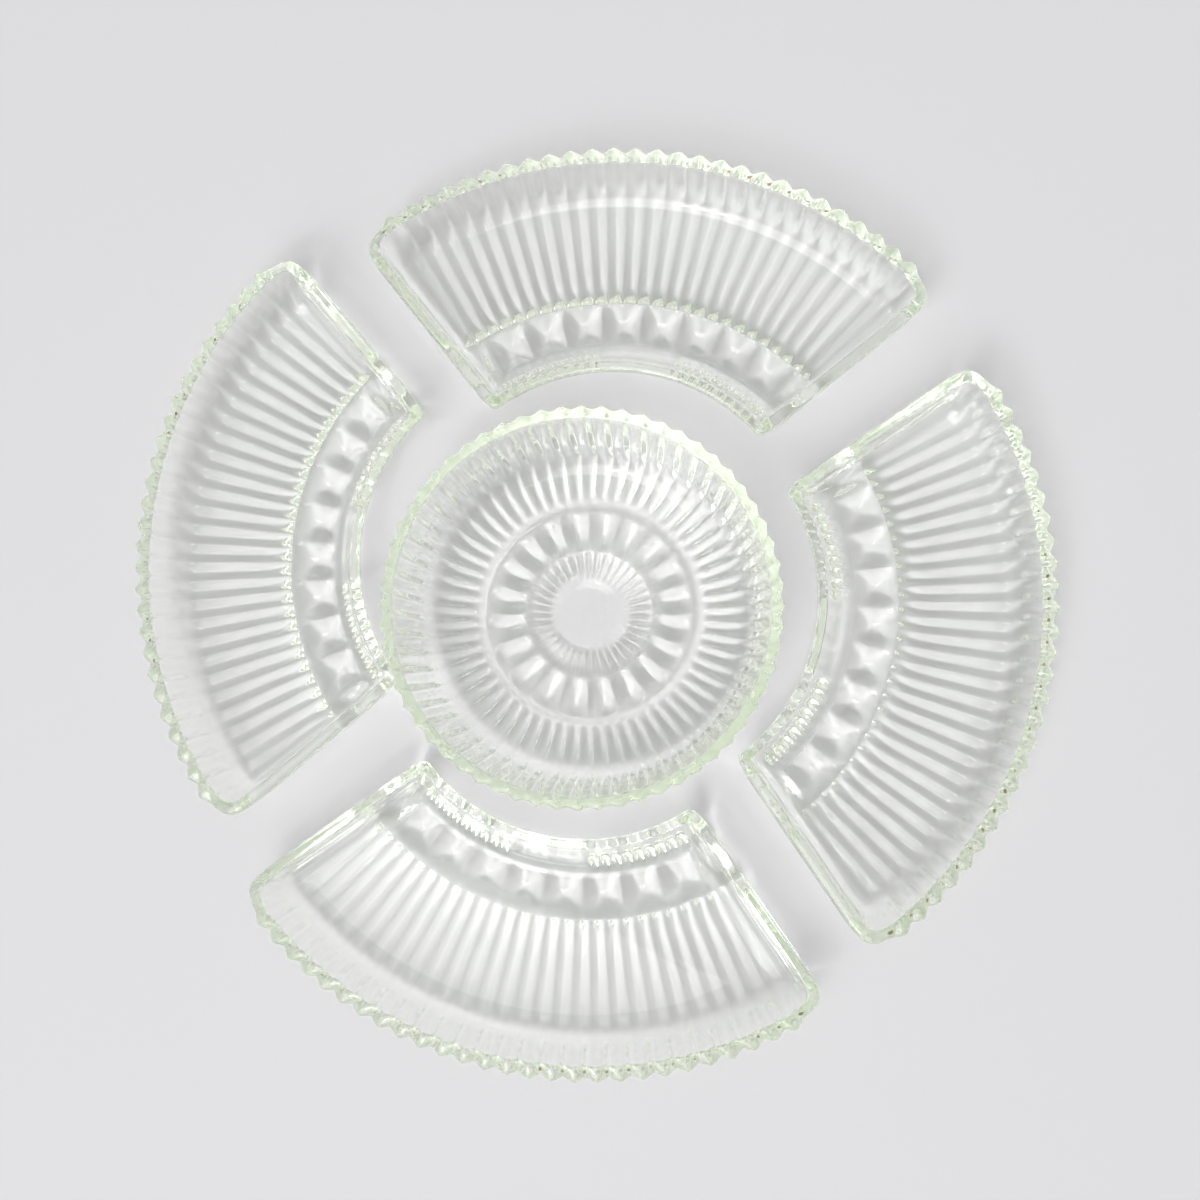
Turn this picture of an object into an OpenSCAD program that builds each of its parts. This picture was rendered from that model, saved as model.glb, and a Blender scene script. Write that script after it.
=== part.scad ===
// Pressed-glass relish set: four fan-shaped dishes stand round a centre bowl.
// Millimetres, +Z up. The origin is on the table, at the middle of the bowl's foot.

/* [Fan dish] */
// Radius of the rim at the tips of its beads, from the centre of the fan
rim_r = 145.5; // [135:0.5:160]
// Radius of the rim on the side that faces the bowl
inner_r = 65.5; // [60:0.5:72]
// Height of a dish
dish_h = 22; // [18:0.5:30]
// Angle that the fan fills
fan_angle = 90; // [80:1:90]
// Set-back of each side of the rim from that angle
side_set_back = 0.8; // [0.3:0.1:2]
// Width of the plain rim
rim_w = 4; // [3:0.1:5]
// Bevel along the edge of the rim
rim_bevel = 1; // [0.4:0.1:1.4]
// Lean of the outer wall from foot to rim
outer_lean = 9.5; // [6:0.5:12]
// Lean of the wall that faces the bowl
inner_lean = 10; // [6:0.5:12]
// Lean of the two side walls
side_lean = 2.6; // [1:0.1:4]
// Corner radius of the rim at the outer corners
outer_corner = 8; // [7:0.1:9]
// Corner radius of the rim at the inner corners
inner_corner = 5.5; // [4:0.1:7]
// Least corner radius inside the dish
inside_corner = 3; // [1.5:0.1:4]
// Height of the floor inside the dish
floor_h = 4.5; // [3.6:0.1:6]
// Radius of the fillet round the floor
floor_fillet = 5; // [3:0.1:7]
// Bevel round the foot
foot_bevel = 2.5; // [1.5:0.1:3.5]

/* [Fan dish relief] */
// Angle from one bead, flute and floor rib to the next
rib_pitch = 3; // [2.6:0.1:4]
// Angle across the flat crest of a rib
rib_crest = 1.8; // [1:0.1:2.2]
// Depth of the relief under the floor
relief_d = 1.6; // [1:0.1:2]
// Depth of the flutes at the foot of the outer wall
flute_d = 1.2; // [0.6:0.1:1.6]
// Reach of the bead tips beyond the plain rim
bead_d = 2.2; // [1:0.1:3]
// Reach of a bead at the edges of its rib, where it joins the next
bead_shoulder = 1; // [0.4:0.1:1]
// Depth of the ribs on the wall that faces the bowl
back_rib_d = 1; // [0.5:0.1:1.5]
// Angle of the plain panel in the middle of that wall
panel_angle = 21; // [9:1:40]
// Number of ribs that one pyramid is as wide as
ribs_per_pyramid = 3; // [2:1:5]
// Length of a pyramid along the radius
pyramid_len = 15.8; // [10:0.2:20]
// Plain floor between the pyramids and the wall behind them
pyramid_margin = 1.2; // [0.5:0.1:4]
// Plain floor between the pyramids and the ends of the ribs
rib_end_gap = 1.5; // [0.8:0.1:4]
// Height of the pyramids' points above the table
point_lift = 0.2; // [0:0.05:0.5]
// Height of the valleys between the pyramids above the table
valley_lift = 2.6; // [1.6:0.1:3]

/* [Centre bowl] */
// Radius of the bowl at the tips of its teeth
bowl_r = 66.6; // [60:0.2:72]
// Height of the bowl
bowl_h = 40; // [34:0.5:50]
// Width of the plain rim
bowl_rim_w = 3.3; // [2.6:0.1:4]
// Bevel along the edge of the rim
bowl_rim_bevel = 0.8; // [0.4:0.1:1.2]
// Lean of the wall from foot to rim
bowl_lean = 8; // [4:0.5:12]
// Height of the floor inside the bowl
bowl_floor_h = 5; // [4:0.1:7]
// Radius of the fillet round the floor
bowl_fillet = 8; // [5:0.2:12]
// Bevel round the foot
bowl_bevel = 4; // [2:0.1:5]

/* [Centre bowl relief] */
// Number of teeth on the rim, with as many flutes and floor ribs
teeth = 60; // [40:2:80]
// Reach of the teeth beyond the plain rim
tooth_d = 1.8; // [1:0.1:2.4]
// Reach of a tooth at its shoulders
tooth_shoulder = 0.7; // [0.3:0.1:0.9]
// Depth of the flutes at the foot of the wall
bowl_flute_d = 1; // [0.5:0.1:1.4]
// Share of the pitch that the flat crest of a floor rib takes
crest_share = 0.6; // [0.3:0.05:0.8]
// Depth of the relief under the floor
bowl_relief_d = 2; // [1.2:0.1:2.6]
// Height of the floor ribs above the table
rib_lift = 0.4; // [0.1:0.1:1]
// Outer radius of the ring that the bowl stands on, with the flat disc in its middle
foot_r = 40; // [36:0.5:44]
// Width of that ring
foot_w = 2.5; // [1.5:0.1:4]
// Step between the ring, or the disc, and the relief beside it
foot_step = 0.8; // [0.4:0.1:1.5]
// Number of petals under the floor
petals = 20; // [12:1:24]
// Length of a petal along the radius
petal_len = 14.5; // [10:0.5:16]
// Length of the hip at each end of a petal
petal_hip = 4; // [2:0.5:6]
// Height of the ridge of a petal above the table
petal_lift = 0.5; // [0.2:0.1:1]
// Number of fine ribs inside the petals
fine_ribs = 40; // [24:2:48]
// Length of a fine rib along the radius
fine_len = 6.5; // [4:0.5:8]
// Depth of the grooves between fine ribs
fine_d = 0.8; // [0.3:0.1:1.2]

/* [Right dish place] */
// Turn of the right dish about the bowl
right_turn = -10.6; // [-20:0.1:0]
// Gap between the bowl and the right dish, along the middle of the dish
right_gap = 9.7; // [6:0.1:20]
// Shift of the right dish to its own left
right_shift = 6.9; // [0:0.1:9]

/* [Front dish place] */
// Turn of the front dish about the bowl
front_turn = -99.7; // [-105:0.1:-90]
// Gap between the bowl and the front dish, along the middle of the dish
front_gap = 8.9; // [6:0.1:20]
// Shift of the front dish to its own left
front_shift = 1.4; // [-4:0.1:6]

/* [Left dish place] */
// Turn of the left dish about the bowl
left_turn = 175.4; // [170:0.1:182]
// Gap between the bowl and the left dish, along the middle of the dish
left_gap = 11.5; // [10:0.1:20]
// Shift of the left dish to its own left
left_shift = -17.5; // [-18:0.1:-8]

/* [Back dish place] */
// Turn of the back dish about the bowl
back_turn = 83.8; // [78:0.1:90]
// Gap between the bowl and the back dish, along the middle of the dish
back_gap = 15.6; // [6:0.1:20]
// Shift of the back dish to its own left
back_shift = -6.5; // [-9:0.1:4]

/* [Hidden] */

glass = [0.85, 0.91, 0.87, 0.6];
full_turn = 360;
quarter_turn = 90;

// Least corner radius on the outside of a dish
outside_corner = 1;
// Straight steps in a rounded corner, in a floor fillet and round the bowl
corner_steps = 4;
fillet_steps = 3;
round_steps = 60;
// Pitches from the last rib's middle to the corner beside it, at least
corner_room = 0.6;
// Least share of a pyramid that may be left at a side
least_pyramid = 0.25;

half_fan = fan_angle / 2;
plain_rim_r = rim_r - bead_d;
middle_r = (plain_rim_r + inner_r) / 2;
pyramid_angle = ribs_per_pyramid * rib_pitch;

// Radii of the relief under a dish, outwards from the wall that faces the bowl
pyramid_in_r = in_r(relief_d, foot_bevel) + pyramid_margin;
pyramid_out_r = pyramid_in_r + pyramid_len;
rib_end_r = pyramid_out_r + rib_end_gap;

// Ribs on each half of a dish, besides the one on its middle line
field_end = min(out_end(relief_d, foot_bevel), out_end(dish_h, rim_bevel));
ribs = floor(field_end / rib_pitch - corner_room);
back_field_end = in_end(relief_d + foot_bevel, 0);
first_back_rib = ceil(panel_angle / 2 / rib_pitch + 0.5);
last_back_rib = floor(back_field_end / rib_pitch - corner_room);

// Whole pyramids on each half of a dish
pyramids = floor(half_fan / pyramid_angle - least_pyramid);

function polar(r, a, z) = [r * cos(a), r * sin(a), z];
function backwards(row) = [for (i = [len(row) - 1:-1:0]) row[i]];
function mirrored(row) = [for (p = row) [p.x, -p.y, p.z]];
function part(row, first, last) = [for (i = [first:last]) row[i]];
function closed(row) = concat(row, [row[0]]);

// Walls of a dish: the radius or set-back at height z, moved into the glass by w
function lean_at(z) = lean_below(z, dish_h - rim_bevel);
function lean_below(z, rim_z) = 1 - min(z, rim_z) / rim_z;
function out_r(z, w) = plain_rim_r - outer_lean * lean_at(z) - w;
function in_r(z, w) = inner_r + inner_lean * lean_at(z) + w;
function side_d(z, w) = side_set_back + side_lean * lean_at(z) + w;
function corner_r(rim_corner, z, w, least) = max(rim_corner - side_lean * lean_at(z) - w, least);

// Angles at which the two arcs of an outline give way to its corners
function out_end(z, w, least = outside_corner) =
    let (c = corner_r(outer_corner, z, w, least))
    half_fan - asin((side_d(z, w) + c) / (out_r(z, w) - c));
function in_end(z, w, least = outside_corner) =
    let (c = corner_r(inner_corner, z, w, least))
    half_fan - asin((side_d(z, w) + c) / (in_r(z, w) + c));

function arc(middle, r, from, to) =
    [for (i = [0:corner_steps]) middle + polar(r, from + (to - from) * i / corner_steps, 0)];
function side_point(r, z, w) =
    let (d = side_d(z, w))
    polar(r, half_fan - asin(d / r), z);

// Half of a fan outline, from the middle of the outer arc round to the middle of the inner arc.
// A column is [angle, reach out of the wall, rise]; sides are radii of points along the side.
function fan_half(z, w, least, columns, back_columns, sides) =
    let (c = corner_r(outer_corner, z, w, least))
    let (c_in = corner_r(inner_corner, z, w, least))
    let (a = out_end(z, w, least))
    let (a_in = in_end(z, w, least))
    let (side_turn = half_fan + quarter_turn)
    concat(
        [for (k = columns) polar(out_r(z, w) + k[1], k[0], z + k[2])],
        arc(polar(out_r(z, w) - c, a, z), c, a, side_turn),
        [for (r = sides) side_point(r, z, w)],
        arc(polar(in_r(z, w) + c_in, a_in, z), c_in, side_turn, a_in + 2 * quarter_turn),
        [for (k = back_columns) polar(in_r(z, w) - k[1], k[0], z)]
    );
function fan_ring(half) = concat(half, backwards(mirrored(part(half, 1, len(half) - 2))));

// Columns of the ribbed field: the crest, its two edges and the groove beside it
function rib_columns(crest, edge, rise) =
    [for (i = [0:ribs], k = [-1:2])
        if (i > 0 || k >= 0)
            k == 0 ? [i * rib_pitch, crest, rise] :
            k == 2 ? [(i + 0.5) * rib_pitch, 0, 0] :
            [i * rib_pitch + k * rib_crest / 2, edge, rise]];
function back_columns(d) =
    concat(
        [for (i = [last_back_rib:-1:first_back_rib], k = [2:-1:-1])
            k == 0 ? [i * rib_pitch, d] :
            k == 2 ? [(i + 0.5) * rib_pitch, 0] :
            [i * rib_pitch + k * rib_crest / 2, d]],
        [[(first_back_rib - 0.5) * rib_pitch, 0], [0, 0]]
    );

// Triangles between two rows, each step taken on the row whose next point comes first.
// Keys are the angles of a row's points; the outside is to the right of the way from a to b.
function stitch(a, a_keys, b, b_keys) =
    let (total = len(a) + len(b) - 2)
    [for (i = 0, j = 0, on_a = a_leads(a_keys, 0, b_keys, 0);
        i + j < total;
        i = on_a ? i + 1 : i, j = on_a ? j : j + 1, on_a = a_leads(a_keys, i, b_keys, j))
        on_a ? [a[i], a[i + 1], b[j]] : [a[i], b[j + 1], b[j]]];
function a_leads(a_keys, i, b_keys, j) =
    j == len(b_keys) - 1 || (i < len(a_keys) - 1 && a_keys[i + 1] <= b_keys[j + 1]);

function angle_keys(row) = [for (p = row) atan2(p.y, p.x)];
function turn_keys(row, middle) =
    [for (p = row) (atan2(p.y, p.x - middle) + full_turn) % full_turn];
function open_strip(a, b) = stitch(a, angle_keys(a), b, angle_keys(b));
function closed_strip(a, b, middle) =
    let (a_keys = concat(turn_keys(a, middle), full_turn))
    let (b_keys = concat(turn_keys(b, middle), full_turn))
    stitch(closed(a), a_keys, closed(b), b_keys);

// Triangles between rings with as many points as each other
function even_strip(a, b) =
    let (n = len(a))
    [for (i = [0:n - 1], half = [0, 1])
        half == 0 ? [a[i], a[(i + 1) % n], b[(i + 1) % n]] : [a[i], b[(i + 1) % n], b[i]]];
function even_strips(rings) =
    [for (k = [0:len(rings) - 2]) each even_strip(rings[k], rings[k + 1])];
function cap(row, tip) = [for (i = [0:len(row) - 2]) [row[i], row[i + 1], tip]];

module shell(triangles) {
    corners = [for (t = triangles) each t];
    polyhedron(corners, [for (i = [0:len(triangles) - 1]) [3 * i + 2, 3 * i + 1, 3 * i]]);
}

// Profile of a filleted inside wall as [height, distance into the glass], from rim to floor
function inside_profile(rim_z, floor_z, wall, fillet) =
    concat(
        [[rim_z, wall]],
        [for (i = [0:fillet_steps])
            let (t = quarter_turn * i / fillet_steps)
            [floor_z + fillet * (1 - sin(t)), wall + fillet * (1 - cos(t))]]
    );

// Fan dish, with the centre of its arcs at the origin and its middle line along +X
module fan_dish() {
    sides = [rib_end_r, pyramid_out_r, pyramid_in_r];
    foot_half = fan_half(relief_d, foot_bevel, outside_corner,
        rib_columns(0, 0, -relief_d), back_columns(0), sides);
    wall_half = fan_half(relief_d + foot_bevel, 0, outside_corner,
        rib_columns(flute_d, flute_d, 0), back_columns(back_rib_d), sides);
    bead_half = fan_half(dish_h - rim_bevel, 0, outside_corner,
        rib_columns(bead_d, bead_shoulder, 0), back_columns(0), sides);
    edge_half = fan_half(dish_h, rim_bevel, outside_corner,
        rib_columns(bead_d, bead_shoulder, 0), back_columns(0), sides);
    outside = [for (half = [foot_half, wall_half, bead_half, edge_half]) fan_ring(half)];

    smooth = [for (i = [0:ribs]) [i * rib_pitch, 0, 0]];
    smooth_back = [for (i = [last_back_rib:-2:2]) [i * rib_pitch, 0]];
    inside_halves = [for (p = inside_profile(dish_h, floor_h, rim_w, floor_fillet))
        fan_half(p[0], p[1], inside_corner, smooth, concat(smooth_back, [[0, 0]]), [])];
    inside = [for (half = inside_halves) fan_ring(half)];

    shell(concat(
        even_strips(outside),
        closed_strip(outside[len(outside) - 1], inside[0], middle_r),
        even_strips(inside),
        floor_top(inside_halves[len(inside) - 1], len(smooth) + corner_steps),
        floor_relief(foot_half, len(rib_columns(0, 0, 0)) + corner_steps, sides)
    ));
}

// Rows across a dish, from one side to the other: the outer arc or the inner arc of a half outline
function outer_row(half, last) = across(part(half, 0, last));
function inner_row(half, first) = across(backwards(part(half, first, len(half) - 1)));
function across(row) = concat(backwards(mirrored(part(row, 1, len(row) - 1))), row);

function floor_top(half, last) =
    open_strip(outer_row(half, last), inner_row(half, last + 1));

// Underside of a dish: the band of pyramids, the ends of the ribs and the ribs
function floor_relief(half, last, sides) =
    let (pyramid_in = pyramid_row(pyramid_in_r))
    let (pyramid_out = pyramid_row(pyramid_out_r))
    let (rib_ends = side_to_side(rib_end_r, rib_columns(0, 0, -relief_d)))
    concat(
        open_strip(inner_row(half, last + len(sides) + 1), pyramid_in),
        [for (i = [0:len(pyramid_in) - 2]) each pyramid(pyramid_in, pyramid_out, i)],
        open_strip(pyramid_out, rib_ends),
        open_strip(rib_ends, outer_row(half, last))
    );
function side_to_side(r, columns) =
    across(concat(
        [for (k = columns) polar(r, k[0], relief_d + k[2])],
        [side_point(r, relief_d, foot_bevel)]));
function pyramid_row(r) =
    side_to_side(r, [for (i = [0:pyramids]) [i * pyramid_angle, 0, valley_lift - relief_d]]);
function pyramid(row_in, row_out, i) =
    let (base = [row_in[i], row_in[i + 1], row_out[i + 1], row_out[i]])
    let (middle = (base[0] + base[1] + base[2] + base[3]) / 4)
    cap(closed(base), [middle.x, middle.y, point_lift]);

// Wall of the bowl: its plain radius at height z, moved into the glass by w
function bowl_wall_r(z, w) =
    bowl_r - tooth_d - bowl_lean * lean_below(z, bowl_h - bowl_rim_bevel) - w;

// Rows round the bowl: plain, or with a crest, its two edges and a groove for each repeat
function round_row(r, z, n) = [for (i = [0:n - 1]) polar(r, full_turn * i / n, z)];
function ribbed_row(r, z, n, crest, edge, rise) =
    [for (i = [0:n - 1], k = [0:3])
        let (a = full_turn / n)
        k == 0 ? polar(r + crest, i * a, z + rise) :
        k == 2 ? polar(r, (i + 0.5) * a, z) :
        polar(r + edge, (i + (k - 2) * (1 - crest_share) / 2 + 0.5) * a, z + rise)];
function fine_row(r, z) =
    [for (i = [0:fine_ribs - 1], k = [0, 1])
        polar(r, full_turn * (i + k / 2) / fine_ribs, z + k * fine_d)];

function petal(i, r_in, r_out) =
    let (a = full_turn / petals)
    let (z = bowl_relief_d)
    let (base = [polar(r_in, i * a, z), polar(r_in, (i + 1) * a, z),
        polar(r_out, (i + 1) * a, z), polar(r_out, i * a, z)])
    let (ridge_in = polar(r_in + petal_hip, (i + 0.5) * a, petal_lift))
    let (ridge_out = polar(r_out - petal_hip, (i + 0.5) * a, petal_lift))
    [
        [base[0], base[1], ridge_in],
        [base[1], base[2], ridge_out],
        [base[1], ridge_out, ridge_in],
        [base[2], base[3], ridge_out],
        [base[3], base[0], ridge_in],
        [base[3], ridge_in, ridge_out]
    ];

// Centre bowl, standing on a flat ring and a flat disc
module bowl() {
    rib_z = rib_lift + bowl_relief_d;
    wall_z = rib_z + bowl_bevel;
    tooth_z = bowl_h - bowl_rim_bevel;
    outside = [
        ribbed_row(foot_r + foot_step, rib_z, teeth, 0, 0, -bowl_relief_d),
        ribbed_row(bowl_wall_r(rib_z, bowl_bevel), rib_z, teeth, 0, 0, -bowl_relief_d),
        ribbed_row(bowl_wall_r(wall_z, 0), wall_z, teeth, bowl_flute_d, bowl_flute_d, 0),
        ribbed_row(bowl_wall_r(tooth_z, 0), tooth_z, teeth, tooth_d, tooth_shoulder, 0),
        ribbed_row(bowl_wall_r(bowl_h, bowl_rim_bevel), bowl_h, teeth, tooth_d, tooth_shoulder, 0)
    ];
    inside = [for (p = inside_profile(bowl_h, bowl_floor_h, bowl_rim_w, bowl_fillet))
        round_row(bowl_wall_r(p[0], p[1]), p[0], round_steps)];

    petal_out_r = foot_r - foot_w - foot_step;
    petal_in_r = petal_out_r - petal_len;
    fine_r = petal_in_r - foot_step;
    petal_out = round_row(petal_out_r, bowl_relief_d, petals);
    petal_in = round_row(petal_in_r, bowl_relief_d, petals);
    disc_z = bowl_relief_d - fine_d;
    fine_out = fine_row(fine_r, disc_z);
    fine_in = fine_row(fine_r - fine_len, disc_z);
    round_disc_r = fine_r - fine_len - foot_step;
    round_disc = round_row(round_disc_r, disc_z, fine_ribs);
    ring_out = round_row(foot_r, 0, round_steps);
    ring_in = round_row(foot_r - foot_w, 0, round_steps);

    shell(concat(
        cap(backwards(closed(round_disc)), polar(0, 0, disc_z)),
        closed_strip(round_disc, fine_in, 0),
        even_strip(fine_in, fine_out),
        closed_strip(fine_out, petal_in, 0),
        [for (i = [0:petals - 1]) each petal(i, petal_in_r, petal_out_r)],
        closed_strip(petal_out, ring_in, 0),
        even_strip(ring_in, ring_out),
        closed_strip(ring_out, outside[0], 0),
        even_strips(outside),
        closed_strip(outside[len(outside) - 1], inside[0], 0),
        even_strips(inside),
        cap(closed(inside[len(inside) - 1]), polar(0, 0, bowl_floor_h))
    ));
    cylinder(h = (disc_z + bowl_floor_h) / 2, r = round_disc_r - foot_step, $fn = round_steps);
}

// Stands a dish round the bowl: turned, a gap away from the bowl's teeth and shifted sideways
module beside_bowl(turn, gap, shift) {
    rotate([0, 0, turn]) translate([bowl_r + gap - inner_r, shift, 0]) children();
}

module centre_bowl() {
    color(glass) bowl();
}

module right_dish() {
    color(glass) beside_bowl(right_turn, right_gap, right_shift) fan_dish();
}

module front_dish() {
    color(glass) beside_bowl(front_turn, front_gap, front_shift) fan_dish();
}

module left_dish() {
    color(glass) beside_bowl(left_turn, left_gap, left_shift) fan_dish();
}

module back_dish() {
    color(glass) beside_bowl(back_turn, back_gap, back_shift) fan_dish();
}

centre_bowl();
right_dish();
front_dish();
left_dish();
back_dish();
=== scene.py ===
import math

import bmesh
import bpy
from mathutils import Matrix, Vector


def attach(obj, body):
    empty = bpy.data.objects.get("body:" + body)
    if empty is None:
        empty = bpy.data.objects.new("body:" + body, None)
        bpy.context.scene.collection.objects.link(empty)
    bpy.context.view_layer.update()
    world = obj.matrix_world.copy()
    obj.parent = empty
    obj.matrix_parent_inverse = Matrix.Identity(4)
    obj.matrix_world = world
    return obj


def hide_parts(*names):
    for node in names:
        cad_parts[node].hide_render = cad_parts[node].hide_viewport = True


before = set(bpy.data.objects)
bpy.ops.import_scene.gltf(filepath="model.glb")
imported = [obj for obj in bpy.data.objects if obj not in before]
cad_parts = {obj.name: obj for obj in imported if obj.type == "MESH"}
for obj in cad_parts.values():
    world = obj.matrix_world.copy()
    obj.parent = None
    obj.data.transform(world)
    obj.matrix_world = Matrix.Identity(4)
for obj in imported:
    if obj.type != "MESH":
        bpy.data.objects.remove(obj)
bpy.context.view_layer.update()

bl_info = {
    "name": "Pressed Glass Relish Set",
    "version": (1, 0, 0),
    "blender": (4, 5, 0),
    "location": "3D View > Sidebar > Relish Set",
    "description": "Builds four fan dishes and a round bowl of clear pressed glass",
    "category": "Add Mesh",
}

MM = 0.001

# Each vertex of a low mesh remembers the ring, row and column that it was made on.
MARKS = ("ring", "row", "column")
GRIME_MARK = "grime"
WEAR_MARK = "wear"

# One rib, flute and bead takes four columns: a groove, a flank, the crest and a flank.
RIB_COLUMNS = 4
GROOVE, FLANK, CREST, FAR_FLANK = range(RIB_COLUMNS)
SOFTENING = 2
CRISP_ANGLE = math.radians(24)

# Sizes of the surface patterns, in repeats to the metre.
SPECK_SCALE = 330
PATCH_SCALE = 21
RUB_SCALE = 95
WAVE_SCALE = 150
# Dirt shows where specks and patches meet, and fades in over this range.
DIRT_RANGE = (0.21, 0.24)
RUB_RANGE = (0.45, 0.75)
# What fine rubbing, dirt and worn beads add to the roughness.
RUB_ROUGHNESS = 0.05
DIRT_ROUGHNESS = 0.4
WEAR_ROUGHNESS = 0.24
# Height of the soft waves that pressing leaves, at full strength.
WAVE_HEIGHT = 0.2 * MM


class FanDishSizes(bpy.types.PropertyGroup):
    """Sizes of one fan dish. Radii are from the point of the fan, depths go into the glass."""

    height: bpy.props.FloatProperty(
        name="Height", description="Table to the top of the rim",
        default=22 * MM, unit="LENGTH")
    rim_drop: bpy.props.FloatProperty(
        name="Rim Drop", description="Widest part of the beads below the top",
        default=1 * MM, unit="LENGTH")
    outer_r: bpy.props.FloatProperty(
        name="Outer Radius", description="Outer edge of the rim, in the valleys between beads",
        default=143.3 * MM, unit="LENGTH")
    inner_r: bpy.props.FloatProperty(
        name="Inner Radius", description="Edge of the rim next to the bowl",
        default=65.5 * MM, unit="LENGTH")
    outer_lean: bpy.props.FloatProperty(
        name="Outer Lean", description="How far the outer wall comes in at the table",
        default=9.5 * MM, unit="LENGTH")
    inner_lean: bpy.props.FloatProperty(
        name="Inner Lean", description="How far the wall next to the bowl comes in at the table",
        default=10 * MM, unit="LENGTH")
    side_gap: bpy.props.FloatProperty(
        name="Side Gap", description="Rim of an end wall to the line between two dishes",
        default=0.8 * MM, unit="LENGTH")
    side_lean: bpy.props.FloatProperty(
        name="Side Lean", description="How far an end wall comes in at the table",
        default=2.6 * MM, unit="LENGTH")
    fan_angle: bpy.props.FloatProperty(
        name="Fan Angle", description="Angle between the two lines that the end walls follow",
        default=math.radians(90), subtype="ANGLE")
    rim_w: bpy.props.FloatProperty(
        name="Rim Width", description="Plain width of the rim",
        default=4 * MM, unit="LENGTH")
    floor_h: bpy.props.FloatProperty(
        name="Floor Height", description="Table to the inside floor",
        default=5.8 * MM, unit="LENGTH")
    fillet: bpy.props.FloatProperty(
        name="Fillet", description="Radius between the inside walls and the floor",
        default=5 * MM, unit="LENGTH")
    back_fillet: bpy.props.FloatProperty(
        name="Back Fillet", description="Radius between the wall by the bowl and the floor",
        default=3 * MM, unit="LENGTH")
    rib_count: bpy.props.IntProperty(
        name="Ribs", description="Ribs under the floor, flutes up the wall and beads on the rim",
        default=27)
    rib_pitch: bpy.props.FloatProperty(
        name="Rib Pitch", description="Angle from one rib to the next",
        default=math.radians(3), subtype="ANGLE")
    relief_d: bpy.props.FloatProperty(
        name="Rib Depth", description="Depth of the grooves under the floor",
        default=1.6 * MM, unit="LENGTH")
    foot_bevel: bpy.props.FloatProperty(
        name="Foot Bevel", description="Bevel between the floor and the walls",
        default=2.5 * MM, unit="LENGTH")
    flute_d: bpy.props.FloatProperty(
        name="Flute Depth", description="Reach of the flutes on the outer wall",
        default=1.4 * MM, unit="LENGTH")
    bead_d: bpy.props.FloatProperty(
        name="Bead Reach", description="Reach of the beads beyond the valleys of the rim",
        default=2.2 * MM, unit="LENGTH")
    back_rib_d: bpy.props.FloatProperty(
        name="Back Rib Depth", description="Reach of the ribs on the wall next to the bowl",
        default=1.3 * MM, unit="LENGTH")
    back_ribs_from: bpy.props.IntProperty(
        name="First Back Rib",
        description="Rib, counted from the middle, where the back ribs start",
        default=4)
    back_ribs_to: bpy.props.IntProperty(
        name="Last Back Rib", description="Rib, counted from the middle, where the back ribs end",
        default=12)
    pyramid_w: bpy.props.FloatProperty(
        name="Pyramid Depth", description="Size of the pyramids towards the fan's point",
        default=15.8 * MM, unit="LENGTH")
    pyramid_ribs: bpy.props.IntProperty(
        name="Ribs to a Pyramid", description="Pitches of the ribs that one pyramid spans",
        default=3)
    pyramid_valley_z: bpy.props.FloatProperty(
        name="Pyramid Valleys", description="Height of the valleys between the pyramids",
        default=4.4 * MM, unit="LENGTH")
    pyramid_point_z: bpy.props.FloatProperty(
        name="Pyramid Points", description="Height of the pyramids' points above the table",
        default=0.2 * MM, unit="LENGTH")


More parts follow.
